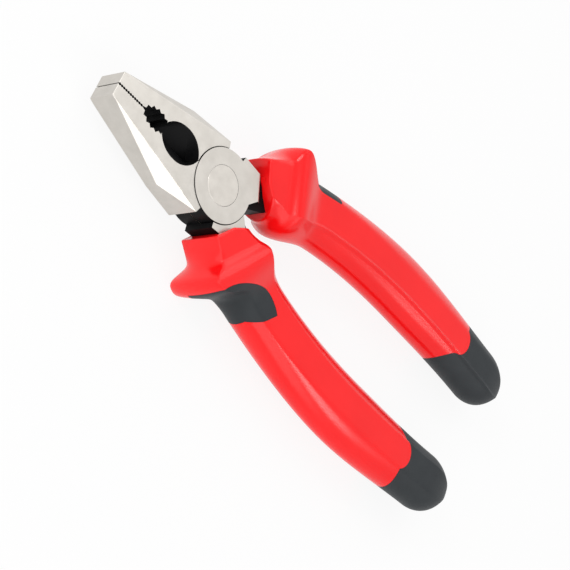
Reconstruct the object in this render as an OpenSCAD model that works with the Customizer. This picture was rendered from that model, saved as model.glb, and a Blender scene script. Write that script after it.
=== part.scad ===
// Combination pliers, 180 mm: two identical forged halves lapped at one rivet,
// each with a two-colour moulded grip. X runs along the tool with the jaws at -X,
// Z is the pivot axis, and the origin is on the flat lower face of the joint.

/* [Head] */
// Radius of the lapped joint discs
joint_r = 10.9; // [10:0.1:12]
// Thickness of the head at the joint
head_t = 11.1; // [10.5:0.1:12]
// Thickness of the jaws at their tips
tip_t = 9.5; // [8.5:0.1:10.4]
// Distance from the pivot to the jaw tips
jaw_len = 45.2; // [43:0.2:50]
// Half width of the closed jaws at the tip
tip_w = 4; // [3.5:0.1:5]
// Distance from the pivot forward to the side corner of each jaw
side_x = 18; // [16:0.2:20]
// Half width of the closed jaws at the side corner
side_w = 13.1; // [12.5:0.1:14]
// Half width of the jaws at their rear end
rear_w = 12.5; // [12:0.1:12.9]
// Depth of the side bevel at the side corner
bevel_drop = 3.4; // [2:0.1:4.5]
// Height that each joint disc stands above the jaw face
disc_raise = 0.25; // [0.1:0.05:0.5]

/* [Jaws] */
// Gap between the closed jaws
parting_gap = 0.3; // [0.2:0.05:0.5]
// Pitch of the fine serration on the flat jaw faces
serration_pitch = 0.9; // [0.7:0.1:1.4]
// Depth of the fine serration
serration_d = 0.3; // [0.15:0.05:0.5]
// Distance from the pivot to the front of the pipe grip
pipe_front_x = 35.2; // [34:0.1:37]
// Distance from the pivot to the back of the pipe grip
pipe_back_x = 25.9; // [25:0.1:26.5]
// Depth of the pipe grip in each jaw
pipe_d = 3.2; // [2.6:0.1:3.8]
// Height of the pipe grip's teeth
pipe_tooth_d = 0.75; // [0.4:0.05:1]
// Number of teeth in each jaw's pipe grip
pipe_teeth = 5; // [4:1:7]
// Half width of the cutter bevel on the jaw face
cutter_w = 5.7; // [5:0.1:6.2]
// Length of the cutter bevel on the jaw face
cutter_len = 15.6; // [14:0.2:15.8]

/* [Joint] */
// Radius of the rivet's flush heads
rivet_head_r = 5.9; // [5:0.1:6.5]
// Thickness of the rivet's heads
rivet_head_t = 2; // [1.5:0.1:2.6]
// Radius of the rivet's shank
rivet_r = 4; // [3:0.1:4.4]
// Running clearance of the rivet in its bore
run_clear = 0.05; // [0.02:0.01:0.1]
// Clearance under the rivet's heads
head_clear = 0.15; // [0.1:0.05:0.3]
// Gap between the lapped faces
lap_gap = 0.3; // [0.2:0.05:0.4]
// Gap around each joint disc
disc_gap = 0.3; // [0.2:0.05:0.4]
// Angle from the jaw's rear face to the neck that stops it
open_angle = 32; // [28:1:33]
// Angle of the jaw's rear face, from the jaw's side
rear_angle = 18.5; // [16:0.5:20]

/* [Handles] */
// Distance from the pivot to the widest point of the handles
bow_x = 81; // [76:1:86]
// Half spread of the handles' centre lines at the widest point
bow_y = 23.2; // [22:0.1:27]
// Radius of the handle's bow behind the widest point
rear_bow_r = 450; // [350:10:500]
// Radius of the handle's bow before the widest point
front_bow_r = 198; // [190:2:230]
// Length of the front bow
front_len = 57.5; // [54:0.5:60]
// Radius of the bow at the neck
neck_bow_r = 80; // [70:1:100]
// Thickness of the tang inside the grip
tang_t = 7; // [6:0.1:8]
// Width of the tang inside the grip
tang_w = 6.4; // [5:0.1:7]
// Distance from the right grip's tail end forward to the end of the tang
tang_short = 21; // [17:0.5:24]
// Length of the slope from the neck down to the tang
neck_slope = 2.2; // [1.5:0.1:3]

/* [Grips] */
// Length of each grip along its handle
grip_len = 123; // [121:1:128]
// Distance from the widest point forward to the right grip's front edge
grip_front = 69.5; // [68:0.5:71]
// How much further forward the left grip sits
left_forward = 5; // [0:0.5:5]
// Thickness of the grip
grip_t = 13.2; // [12.8:0.1:15]
// Thickness of the collar
collar_t = 15.2; // [14.5:0.1:16.5]
// Reach of the collar's flat top on the outer side, at its front edge
collar_out = 7.3; // [6.8:0.1:7.8]
// Reach of the collar's flat top on the inner side, at its front edge
collar_in = 3.4; // [3.2:0.1:3.8]
// Reach of the collar's round inner side at its front edge
collar_side = 9.4; // [9:0.1:10]
// Length of the collar's flat top
collar_len = 8.9; // [7:0.1:9.5]
// How much the flat top widens on the outer side towards the guard
collar_flare = 1.4; // [1:0.1:2]
// How much the flat top widens on the inner side towards the guard
collar_in_flare = 3.4; // [2.5:0.1:3.6]
// Distance from the collar's front edge to the guard's crest
guard_at = 12; // [11:0.1:12.2]
// Reach of the right guard's lip on the outer side
right_guard_out = 15.2; // [14:0.1:16]
// Length of the right guard's blunt crest
right_lip_len = 0.5; // [0.3:0.1:1.5]
// Length over which the right lip falls back to the handle
right_lip_fall = 10; // [8:0.1:11]
// Reach of the left guard's lip on the outer side
left_guard_out = 17.4; // [16:0.1:18.5]
// Length of the left guard's blunt crest
left_lip_len = 1.4; // [0.8:0.1:2.2]
// Length over which the left lip falls back to the handle
left_lip_fall = 6; // [5:0.1:8]
// Reach of the guard on the inner side
guard_in = 11.9; // [11:0.1:12.4]
// Thickness across the guard's crest
guard_t = 20.5; // [18:0.1:22]
// Length over which the guard's crest falls back to the wide face
guard_fall = 11; // [9:0.5:13]
// Lean of the guard's crest, forward on the outer side
guard_lean_share = 0.1; // [0:0.05:0.25]
// Distance from the collar's front edge to the waist
waist_at = 27; // [24:0.5:30]
// Width of the grip at the waist
waist_w = 19.4; // [18:0.1:20]
// Width of the flat panel at the waist, as measured on the outer side
waist_panel_w = 11.6; // [10:0.1:12]
// Distance from the collar's front edge to the palm swell
palm_at = 72; // [60:1:80]
// Width of the grip at the palm swell
palm_w = 20.6; // [19:0.1:22]
// Extra swell of the palm on the outer side
palm_swell = 0.9; // [0:0.1:1.4]
// Length of the tail's round end
tail_round = 11; // [9:0.5:13]
// Width of the grip before the tail's round end
tail_w = 18.6; // [17:0.1:20]
// Width of the flat panel along the grip
panel_w = 8.8; // [7:0.1:9.6]
// Clearance of the tang in its grip
tang_clear = 0.05; // [0.02:0.01:0.1]

/* [Inserts] */
// Thickness of the thumb pad
pad_t = 2; // [1.5:0.1:2.2]
// Distance from the collar's front edge to the middle of the thumb pad's arc
pad_at = 23; // [22.8:0.1:24]
// Distance from the middle of the pad's arc to its front edge
pad_front = 14; // [13:0.1:14.2]
// Distance from the middle of the pad's arc to its rear corner
pad_rear = 6.8; // [6:0.1:7.6]
// How far the pad's rear edge slants forward down the handle's side
pad_skew = 4.8; // [3:0.1:5.6]
// How far the pad's rear edge is drawn in at the handle's crease
pad_nip = 2.6; // [1.5:0.1:3]
// Rise of the pad's arc onto the wide face
pad_rise = 9.3; // [7.5:0.1:10]
// Turn of the pad from the handle's side towards its wide face
pad_turn = 40; // [38:1:45]
// Length of the tail cap behind the creases of the grip
cap_len = 26; // [23:0.5:28]
// Reach of the sleeve's round tongue over the cap on the flat panel
tongue_len = 2.8; // [1.5:0.1:4]
// Reach of the sleeve's round tongue over the cap on the outer side
side_tongue_len = 2; // [1:0.1:3]
// Reach of the cap's own round tongue on the inner side
cap_tongue_len = 5; // [3:0.1:6]

/* [Hidden] */
$fn = 64;
overrun = 1;
reach = 2 * (jaw_len + grip_len);
mid_z = head_t / 2 + disc_raise;
half_gap = parting_gap / 2;

// Corners of a jaw in plan, on the jaw's own side of the parting line
tip_corner = [-jaw_len, -tip_w];
side_corner = [-side_x, -side_w];
rear_corner = [-rear_w * tan(rear_angle), -rear_w];
stop_angle = open_angle - rear_angle;

// Arc of the pipe grip, through its two ends on the parting line
pipe_mid_share = 0.63;
pipe_x = -pipe_front_x + pipe_mid_share * (pipe_front_x - pipe_back_x);
pipe_half = pipe_front_x + pipe_x;
pipe_r = (pipe_half * pipe_half + pipe_d * pipe_d) / (2 * pipe_d);
pipe_c = [pipe_x, pipe_r - pipe_d];
serration_run = jaw_len - pipe_front_x;
serrations = floor(serration_run / serration_pitch);

// Lens of the cutter bevel: two arcs that meet at the joint disc
cutter_half = cutter_len / 2;
cutter_x = -joint_r - disc_gap - cutter_half;
cutter_r = (cutter_half * cutter_half + cutter_w * cutter_w) / (2 * cutter_w);
cutter_edge_share = 0.96;

// Centre line of a handle: three tangent arcs, with the distance s measured from the widest point
rear_c = [bow_x, bow_y - rear_bow_r];
front_c = [bow_x, bow_y - front_bow_r];
neck_a = turn(front_len, front_bow_r);
neck_c = arc_point(front_c, front_bow_r - neck_bow_r, neck_a);
function turn(len, r) = len / r * 180 / PI;
function arc_point(c, r, a) = c + r * [-sin(a), cos(a)];
function heading(s) =
    s >= 0 ? -turn(s, rear_bow_r)
    : s > -front_len ? turn(-s, front_bow_r)
    : neck_a + turn(-s - front_len, neck_bow_r);
function centre(s) =
    s >= 0 ? arc_point(rear_c, rear_bow_r, heading(s))
    : s > -front_len ? arc_point(front_c, front_bow_r, heading(s))
    : arc_point(neck_c, neck_bow_r, heading(s));
function beside(s, v) = arc_point(centre(s), v, heading(s));

// Grip stations: distance from the front edge, the outer and inner half widths, the half thickness,
// the half widths of the flat panel on both sides, and the lean of the station on both sides.
// A lip gives the guard's reach, the lengths of its crest and fall, the power of its flare and its lean.
grip_h = grip_t / 2;
collar_edge = 0.8;
collar_lean_share = 0.08;
inner_lean_share = 0.5;
inner_lean_len = 10;
panel_half = panel_w / 2;
lip_round = 1.5;
right_flare_power = 1.4;
left_flare_power = 2.4;
right_lip_lean_share = 0.1;
left_lip_lean_share = 0.18;
crease_a = 35;
side_steps = 12;
front_steps = 22;
body_steps = 11;
tail_steps = 8;
tail_end_share = 0.985;
tail_flat_share = 0.8;
function ease(t) = t * t * (3 - 2 * t);
function between(a, b, t) = a + (b - a) * t;
function rise(d, from, to) = ease(min(1, max(0, (d - from) / (to - from))));
function body_half(d) =
    (waist_w + (palm_w - waist_w) * rise(d, waist_at, palm_at)
     + (tail_w - palm_w) * rise(d, palm_at, tail_at)) / 2;
function palm_half(d) =
    body_half(d) + palm_swell * (rise(d, waist_at, palm_at) - rise(d, palm_at, tail_at));
function lip_at(lip) = guard_at - lip[1];
function lip_rise(d, lip) = rise(d, collar_len - lip[1], lip_at(lip));
function lip_drop(d, lip) = rise(d, guard_at, guard_at + lip[2]);
function outer_half(d, lip) =
    d < lip_at(lip) ? between(collar_out + collar_edge, lip[0], pow(d / lip_at(lip), lip[3]))
    : between(lip[0], palm_half(d), lip_drop(d, lip));
function inner_half(d) =
    d < guard_at ? between(collar_side, guard_in, rise(d, 0, guard_at))
    : between(guard_in, body_half(d), rise(d, guard_at, waist_at));
function half_t(d, lip) =
    (between(collar_t, guard_t, lip_rise(d, lip))
     - (guard_t - grip_t) * rise(d, guard_at, guard_at + guard_fall)) / 2;
function outer_panel(d, lip) =
    let (flat = collar_out + collar_flare * min(1, d / collar_len),
         crest = between(flat, lip[0] - lip_round, lip_rise(d, lip)),
         body = between(waist_panel_w / 2, panel_half, rise(d, waist_at, palm_at)))
    between(crest, body, lip_drop(d, lip));
function inner_panel(d) =
    between(collar_in + collar_in_flare * min(1, d / collar_len), panel_half, rise(d, collar_len, waist_at));
function lean(d, lip) =
    between(between(collar_lean_share, lip[4], rise(d, 0, lip_at(lip))),
            guard_lean_share, rise(d, lip_at(lip), guard_at))
    * (1 - rise(d, guard_at, palm_at));
function inner_lean(d, lip) = between(inner_lean_share, lean(d, lip), rise(d, 0, inner_lean_len));
function section(d, lip) =
    [d, outer_half(d, lip), inner_half(d), half_t(d, lip), outer_panel(d, lip), inner_panel(d),
     lean(d, lip), inner_lean(d, lip)];
function tail_section(u, k) =
    let (w = sqrt(1 - u * u), h = sqrt(1 - u * u * tail_flat_share))
    [tail_at + tail_round * u, k[1] * w, k[2] * w, k[3] * h, k[4] * w, k[5] * w, 0, 0];
function grip_sections(lip) = [
    for (i = [0:front_steps - 1]) section(waist_at * i / front_steps, lip),
    for (i = [0:body_steps]) section(between(waist_at, tail_at, i / body_steps), lip),
    for (i = [1:tail_steps]) tail_section(tail_end_share * sin(90 * i / tail_steps), section(tail_at, lip))
];
tail_at = grip_len - tail_round;
right_sections = grip_sections(
    [right_guard_out, right_lip_len, right_lip_fall, right_flare_power, right_lip_lean_share]);
left_sections = grip_sections(
    [left_guard_out, left_lip_len, left_lip_fall, left_flare_power, left_lip_lean_share]);
function side_curve(c, w, h) =
    [for (i = [0:side_steps]) let (a = crease_a + (180 - 2 * crease_a) * i / side_steps)
        [c + (w - c) * (sin(a) - sin(crease_a)) / (1 - sin(crease_a)), h * cos(a) / cos(crease_a)]];
function section_ring(k, inset) =
    let (outer = side_curve(k[4] - inset, k[1] - inset, k[3] - inset),
         inner = side_curve(k[5] - inset, k[2] - inset, k[3] - inset))
    [for (p = outer) p, for (i = [side_steps:-1:0]) [-inner[i].x, inner[i].y]];

// Outline of the thumb pad, and how far the cap's cusps stand off the creases
pad_drop = 3.5;
pad_side = 8.4;
pad_low = 11.4;
pad_foot = 9;
cusp_out = 0.3;
arc_steps = 16;

// Edges of the neck and tang beside the handle's centre line
neck_lean = 0.7;
neck_bulge = 2;
neck_in = collar_in + neck_bulge;
neck_out = tang_w / 2 - neck_lean;
neck_taper = 16;
tang_len = grip_len - tang_short;
neck_root_a = 8;
tang_steps = 14;
right_s = -grip_front;
left_s = -grip_front - left_forward;
neck_s = right_s;

// Everything on the far side of the plane through three points
module beyond_plane(a, b, c) {
    along = (b - a) / norm(b - a);
    out = cross(b - a, c - a) / norm(cross(b - a, c - a));
    across = cross(out, along);
    multmatrix([[along.x, across.x, out.x, a.x],
                [along.y, across.y, out.y, a.y],
                [along.z, across.z, out.z, a.z]])
        translate([-reach, -reach, 0])
            cube([2 * reach, 2 * reach, reach]);
}

// Both faces of a half, by turning a cut over about the mid plane
module both_faces() {
    children();
    mirror([0, 0, 1]) children();
}

// Plan of a jaw: serrated flat, toothed pipe grip and cutting edge, then the outer side
module jaw_plan() {
    pipe_start_a = atan2(-pipe_c.y, -pipe_front_x - pipe_c.x);
    pipe_end_a = 360 - acos((-pipe_back_x - pipe_c.x) / pipe_r);
    pipe_a = pipe_start_a < 0 ? pipe_start_a + 360 : pipe_start_a;
    serrated = [for (i = [0:2 * serrations])
        [-jaw_len + i * serration_run / (2 * serrations), -half_gap - (i % 2) * serration_d]];
    toothed = [for (i = [0:2 * pipe_teeth]) let (a = between(pipe_a, pipe_end_a, i / (2 * pipe_teeth)))
        pipe_c + (pipe_r - (i % 2) * pipe_tooth_d) * [cos(a), sin(a)] - [0, half_gap]];
    edge = [[-pipe_back_x, -half_gap], [0, -half_gap]];
    polygon(concat(serrated, toothed, edge, [rear_corner, side_corner, tip_corner]));
}

// One face of the cutter: a lens on the jaw face that closes to a straight edge at mid thickness
module cutter_bevel() {
    edge_w = parting_gap;
    edge_from = cutter_x - cutter_half + cutter_half * (1 - cutter_edge_share);
    hull() {
        translate([0, 0, head_t / 2])
            linear_extrude(overrun)
                intersection() {
                    translate([cutter_x, cutter_w - cutter_r]) circle(cutter_r);
                    translate([cutter_x, cutter_r - cutter_w]) circle(cutter_r);
                }
        translate([edge_from, -edge_w / 2, 0])
            cube([2 * cutter_half * cutter_edge_share, edge_w, edge_w / 2]);
    }
}

// Jaw at -Y: full thickness, tapered to the tip, with bevelled outer edges and the cutter
module jaw() {
    difference() {
        linear_extrude(head_t, center = true) jaw_plan();
        both_faces() {
            beyond_plane([-joint_r, 0, head_t / 2], [-joint_r, tip_w, head_t / 2], [-jaw_len, 0, tip_t / 2]);
            beyond_plane([tip_corner.x, tip_corner.y, tip_t / 2],
                         [side_corner.x, side_corner.y, head_t / 2 - bevel_drop],
                         [rear_corner.x, rear_corner.y, head_t / 2]);
            cutter_bevel();
        }
    }
}

function tang_edge(d, wide) = between(wide, tang_w / 2, ease(min(1, max(0, d / neck_taper))));

// Plan of the tang from its root to its end, widened by a clearance
module tang_plan(from, to, clear) {
    stations = [for (i = [0:tang_steps]) between(from, to, i / tang_steps)];
    polygon(concat(
        [for (d = stations) beside(neck_s + d, tang_edge(d, neck_out) + clear)],
        [for (i = [tang_steps:-1:0]) let (d = stations[i])
            beside(neck_s + d, -tang_edge(d, neck_in) - clear)]));
}

// Plan of the neck, from the stop face beside the joint back to the tang's root
module neck_plan(to, clear) {
    stop_out = [rear_w * tan(stop_angle), rear_w];
    polygon([
        [0, 0],
        stop_out,
        beside(neck_s - neck_slope, neck_out + clear),
        beside(neck_s + to, neck_out + clear),
        beside(neck_s + to, -neck_in - clear),
        beside(neck_s - neck_slope, -neck_in - clear),
        [joint_r * cos(neck_root_a), joint_r * sin(neck_root_a)]]);
}

// Neck and tang at +Y
module neck_and_tang() {
    root = beside(neck_s - neck_slope, 0);
    shoulder = beside(neck_s - neck_slope, neck_in);
    foot = beside(neck_s, 0);
    difference() {
        linear_extrude(head_t, center = true) neck_plan(0, 0);
        both_faces()
            beyond_plane([shoulder.x, shoulder.y, head_t / 2],
                         [root.x, root.y, head_t / 2],
                         [foot.x, foot.y, tang_t / 2]);
    }
    linear_extrude(tang_t, center = true) tang_plan(-neck_slope, tang_len, 0);
}

// One forged half with its jaw at -Y, its joint disc on top and its tang at +Y
module forged_half() {
    difference() {
        union() {
            jaw();
            neck_and_tang();
            cylinder(r = joint_r, h = mid_z);
        }
        translate([0, 0, -mid_z - overrun])
            cylinder(r = joint_r + disc_gap, h = mid_z + overrun + lap_gap / 2);
        cylinder(r = rivet_r + run_clear, h = mid_z + overrun);
        translate([0, 0, mid_z - rivet_head_t - head_clear])
            cylinder(r = rivet_head_r + run_clear, h = rivet_head_t + head_clear + overrun);
    }
}

// Whole outer form of a grip that starts at distance s, less an even inset
module grip_form(s, sections, inset) {
    rings = [for (k = sections) section_ring(k, inset)];
    count = len(rings[0]);
    last = len(rings) - 1;
    points = [for (j = [0:last], p = rings[j])
        let (k = sections[j], q = beside(s + k[0] - (p.x > 0 ? k[6] : k[7]) * p.x, p.x)) [q.x, q.y, p.y]];
    sides = [for (j = [0:last - 1], i = [0:count - 1])
        let (a = j * count + i, b = j * count + (i + 1) % count)
        each [[a, b, b + count], [a, b + count, a + count]]];
    front = [for (i = [count - 1:-1:0]) i];
    tail = [for (i = [0:count - 1]) last * count + i];
    polyhedron(points, concat([front, tail], sides));
}

// Room for the thumb pad: a block with the pad's outline that reaches in as far as the pad's thickness
module pad_room(s, sections) {
    at = centre(s + pad_at);
    front_sections = [for (k = sections) if (k[0] < palm_at) k];
    difference() {
        translate([at.x, at.y, 0])
            rotate([0, 0, heading(s + pad_at)])
                rotate([-pad_turn, 0, 0])
                    rotate([-90, 0, 0])
                        linear_extrude(left_guard_out + guard_t)
                            pad_plan();
        grip_form(s, front_sections, pad_t);
    }
}

// Outline of the thumb pad: an arc on the wide face, a rear edge across the side and a foot along the lip
module pad_plan() {
    rear_a = acos(pad_rear / pad_front);
    arc = [for (i = [0:arc_steps]) let (a = between(180, rear_a, i / arc_steps))
        [pad_front * cos(a), pad_rise * sin(a) - pad_drop]];
    nip = [pad_rear - pad_skew / 2 - pad_nip, -pad_drop];
    waist = [pad_rear - pad_skew, -pad_side];
    polygon(concat(arc, [nip, waist, [pad_rear, -pad_low], [-pad_front, -pad_foot]]));
}

// Room for the tail cap: the end of the grip less the sleeve's round tongues
module cap_room(s) {
    back = grip_len - cap_len;
    at = centre(s + back);
    translate([at.x, at.y, 0])
        rotate([0, 0, heading(s + back)]) {
            difference() {
                translate([0, -tail_w, -guard_t])
                    cube([cap_len + tail_w, 2 * tail_w, 2 * guard_t]);
                linear_extrude(2 * guard_t + 2 * overrun, center = true)
                    tongue(panel_half + cusp_out, tongue_len);
                rotate([-90, 0, 0])
                    linear_extrude(tail_w + overrun)
                        tongue(grip_h + cusp_out, side_tongue_len);
            }
            translate([0, -panel_half - cusp_out, 0])
                rotate([90, 0, 0])
                    linear_extrude(tail_w)
                        mirror([1, 0]) tongue(grip_h + cusp_out, cap_tongue_len);
        }
}

// Outline of a round tongue of a given half width and reach, with a short root
module tongue(half, len) {
    r = (half * half + len * len) / (2 * len);
    arc_a = 2 * atan(len / half);
    arc = [for (i = [0:arc_steps]) let (a = between(-arc_a, arc_a, i / arc_steps))
        [r * cos(a) - r + len, r * sin(a)]];
    polygon(concat(arc, [[-overrun, half], [-overrun, -half]]));
}

// Room for the neck and tang inside a grip
module tang_room() {
    linear_extrude(head_t + 2 * tang_clear, center = true) neck_plan(tang_clear, tang_clear);
    linear_extrude(tang_t + 2 * tang_clear, center = true)
        tang_plan(-neck_slope, tang_len + tang_clear, tang_clear);
}

// Red sleeve of a grip that starts at distance s
module sleeve(s, sections) {
    difference() {
        grip_form(s, sections, 0);
        pad_room(s, sections);
        cap_room(s);
        tang_room();
    }
}

// Black thumb pad, flush with its sleeve
module thumb_pad(s, sections) {
    intersection() {
        grip_form(s, sections, 0);
        pad_room(s, sections);
    }
}

// Black tail cap, flush with its sleeve
module tail_cap(s, sections) {
    difference() {
        intersection() {
            grip_form(s, sections, 0);
            cap_room(s);
        }
        tang_room();
    }
}

// Places of the two sides: the left side is the right side turned over about X
module right_side() {
    translate([0, 0, mid_z]) children();
}
module left_side() {
    translate([0, 0, mid_z]) rotate([180, 0, 0]) children();
}

module front_half() { color("silver") right_side() forged_half(); }
module back_half() { color("silver") left_side() forged_half(); }
module pivot_rivet() {
    color("gainsboro") {
        cylinder(r = rivet_head_r, h = rivet_head_t);
        cylinder(r = rivet_r, h = 2 * mid_z);
        translate([0, 0, 2 * mid_z - rivet_head_t]) cylinder(r = rivet_head_r, h = rivet_head_t);
    }
}
module right_sleeve() { color("red") right_side() sleeve(right_s, right_sections); }
module right_thumb_pad() { color("dimgray") right_side() thumb_pad(right_s, right_sections); }
module right_tail_cap() { color("dimgray") right_side() tail_cap(right_s, right_sections); }
module left_sleeve() { color("red") left_side() sleeve(left_s, left_sections); }
module left_thumb_pad() { color("dimgray") left_side() thumb_pad(left_s, left_sections); }
module left_tail_cap() { color("dimgray") left_side() tail_cap(left_s, left_sections); }

front_half();
back_half();
pivot_rivet();
right_sleeve();
right_thumb_pad();
right_tail_cap();
left_sleeve();
left_thumb_pad();
left_tail_cap();
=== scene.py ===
import math
from collections import namedtuple
from contextlib import contextmanager

import bmesh
import bpy
import numpy as np
from mathutils import Matrix, Vector


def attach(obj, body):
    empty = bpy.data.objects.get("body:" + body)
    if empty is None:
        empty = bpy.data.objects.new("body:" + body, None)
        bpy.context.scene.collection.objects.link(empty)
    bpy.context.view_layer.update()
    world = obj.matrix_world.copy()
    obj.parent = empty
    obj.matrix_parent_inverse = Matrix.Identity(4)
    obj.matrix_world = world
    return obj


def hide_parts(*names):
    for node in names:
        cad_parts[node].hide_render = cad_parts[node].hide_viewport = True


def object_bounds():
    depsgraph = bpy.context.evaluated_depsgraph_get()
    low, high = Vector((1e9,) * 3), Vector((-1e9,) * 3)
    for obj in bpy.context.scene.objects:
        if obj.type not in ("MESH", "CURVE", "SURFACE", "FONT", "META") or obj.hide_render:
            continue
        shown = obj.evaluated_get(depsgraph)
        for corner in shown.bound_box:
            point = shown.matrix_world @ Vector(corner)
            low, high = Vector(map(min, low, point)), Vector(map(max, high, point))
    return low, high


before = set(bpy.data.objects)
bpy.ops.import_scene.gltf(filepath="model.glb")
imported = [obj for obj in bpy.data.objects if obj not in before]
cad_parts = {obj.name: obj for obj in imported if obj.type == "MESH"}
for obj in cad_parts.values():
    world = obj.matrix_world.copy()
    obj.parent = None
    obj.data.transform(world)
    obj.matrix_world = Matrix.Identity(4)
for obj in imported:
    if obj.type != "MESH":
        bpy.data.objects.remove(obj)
cad_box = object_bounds()

MM = 0.001
WELD = 1e-6
EDGE_WELD = 2e-6

# Head and joint, in millimetres and degrees
JOINT_R = 10.9
HEAD_T = 11.1
TIP_T = 9.5
JAW_LEN = 45.2
TIP_W = 4.0
SIDE_X = 18.0
SIDE_W = 13.1
REAR_W = 12.5
BEVEL_DROP = 3.4
DISC_RAISE = 0.25
PARTING_GAP = 0.3
CUTTER_GAP = 0.06
CUTTER_LAND = 0.3
SERRATION_PITCH = 0.9
SERRATION_D = 0.3
PIPE_FRONT_X = 35.2
PIPE_BACK_X = 25.9
PIPE_D = 3.2
PIPE_MID_SHARE = 0.63
PIPE_TOOTH_D = 0.75
PIPE_TEETH = 5
CUTTER_W = 5.7
CUTTER_LEN = 15.6
CUTTER_EDGE_SHARE = 0.96
RIVET_HEAD_R = 5.9
RIVET_HEAD_T = 2.0
RIVET_R = 4.0
RIVET_RIM = 0.05
RUN_CLEAR = 0.05
HEAD_CLEAR = 0.15
LAP_GAP = 0.3
DISC_GAP = 0.3
OPEN_ANGLE = 32.0
REAR_ANGLE = 18.5
REAR_X = REAR_W * math.tan(math.radians(REAR_ANGLE))
CORNER_NEAR = 0.05
PARTING_NEAR = 1
MID_Z = HEAD_T / 2 + DISC_RAISE

# Handles and grips, in millimetres and degrees
BOW_X = 81.0
BOW_Y = 23.2
REAR_BOW_R = 450.0
FRONT_BOW_R = 198.0
FRONT_LEN = 57.5
NECK_BOW_R = 80.0
TANG_T = 7.0
TANG_W = 6.4
TANG_SHORT = 21.0
NECK_SLOPE = 2.2
GRIP_LEN = 123.0
GRIP_FRONT = 69.5
LEFT_FORWARD = 5.0
GRIP_T = 13.2
COLLAR_OUT = 7.3
COLLAR_IN = 3.4
COLLAR_LEN = 8.9
COLLAR_FLARE = 1.4
COLLAR_IN_FLARE = 3.4
COLLAR_SIDE = 9.4
COLLAR_EDGE = 0.8
COLLAR_LEAN = 0.08
INNER_LEAN = 0.5
INNER_LEAN_LEN = 10.0
GUARD_AT = 12.0
RIGHT_LIP_LEN = 0.5
LEFT_LIP_LEN = 1.4
RIGHT_LIP_FALL = 10.0
LEFT_LIP_FALL = 6.0
LIP_ROUND = 1.5
RIGHT_FLARE_POWER = 1.4
LEFT_FLARE_POWER = 2.4
RIGHT_GUARD_OUT = 15.2
LEFT_GUARD_OUT = 17.4
GUARD_IN = 11.9
GUARD_T = 20.5
GUARD_FALL = 11.0
COLLAR_T = 15.2
GUARD_LEAN = 0.1
RIGHT_LIP_LEAN = 0.1
LEFT_LIP_LEAN = 0.18
WAIST_AT = 27.0
WAIST_W = 19.4
WAIST_PANEL_W = 11.6
PALM_AT = 72.0
PALM_W = 20.6
PALM_SWELL = 0.9
TAIL_ROUND = 11.0
TAIL_W = 18.6
TAIL_FLAT = 0.8
PANEL_W = 8.8
TANG_CLEAR = 0.05
CREASE_A = 35.0
PAD_T = 2.0
PAD_AT = 23.0
PAD_FRONT = 14.0
PAD_REAR = 6.8
PAD_RISE = 9.3
PAD_DROP = 3.5
RIGHT_PAD_SIDE = 6.6
LEFT_PAD_SIDE = 8.4
PAD_LOW = 11.4
PAD_SKEW = 4.8
PAD_NIP = 2.6
RIGHT_PAD_FOOT = 9.0
LEFT_PAD_FOOT = 13.0
RIGHT_PAD_HEEL = 8.5
LEFT_PAD_HEEL = 0.0
PAD_TURN = 40.0
CAP_LEN = 26.0
TONGUE_LEN = 2.8
SIDE_TONGUE_LEN = 2.0
CAP_TONGUE_LEN = 5.0
CUSP_OUT = 0.3
NECK_LEAN = 0.7
NECK_BULGE = 2.0
NECK_TAPER = 16.0
NECK_ROOT_A = 8.0
WEB_IN = 7.8
WEB_FRONT = 7.0
WEB_REAR = 12.0
WEB_T = 6.8

# Finish of the visible pieces, in millimetres, square millimetres and degrees
SEAM = 0.07
EDGE_R = 0.18
EDGE_LEAST_LEN = 0.5
EDGE_LEAST_DEG = 18
EDGE_SEGMENTS = 2
EDGE_PROFILE = 0.5
FLAT_DEG = 0.4
FLAT_AREA = 8.0
CREASE_R = 0.35
CREASE_R_SHARE = 0.3
COLLAR_RIM = 0.45
RIGHT_BEAD_H = 0.5
LEFT_BEAD_H = 0.0
BEAD_W = 0.34
BEAD_START = 16.0
BEAD_FULL = 24.0
SECTION_ROUND = 0.7
FORGING_SHARP_DEG = 16.0
RIVET_SHARP_DEG = 25.0
GRIP_SHARP_DEG = 34.0
OVERRUN = 1.0

# Stations along a grip: lengths in millimetres, counts, and two shares of the pieces' own lengths
FINE = 0.1
FINE_OVER = 6
FRONT_STATIONS = 30
FRONT_STEP = 0.45
BODY_STEP = 1.6
RIM_RINGS = 5
TAIL_RINGS = 21
TAIL_REACH = 0.992
PAD_CORE_REACH = 3

# Reach of the two running means, in widths of their bell
TABLE_REACH = 4
RING_REACH = 3

# Points around a section, and how far they are drawn towards the inner creases
SIDE_POINTS = 34
PANEL_POINTS = 20
GATHER_SHARE = 0.75
GATHER_POWER = 1.8

# Steps of the other curves
DISC_STEPS = 144
BORE_STEPS = 96
RIVET_STEPS = 128
LENS_STEPS = 32
TANG_STEPS = 40
WEB_STEPS = 12
PAD_STEPS = 48
TONGUE_STEPS = 40

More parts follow.
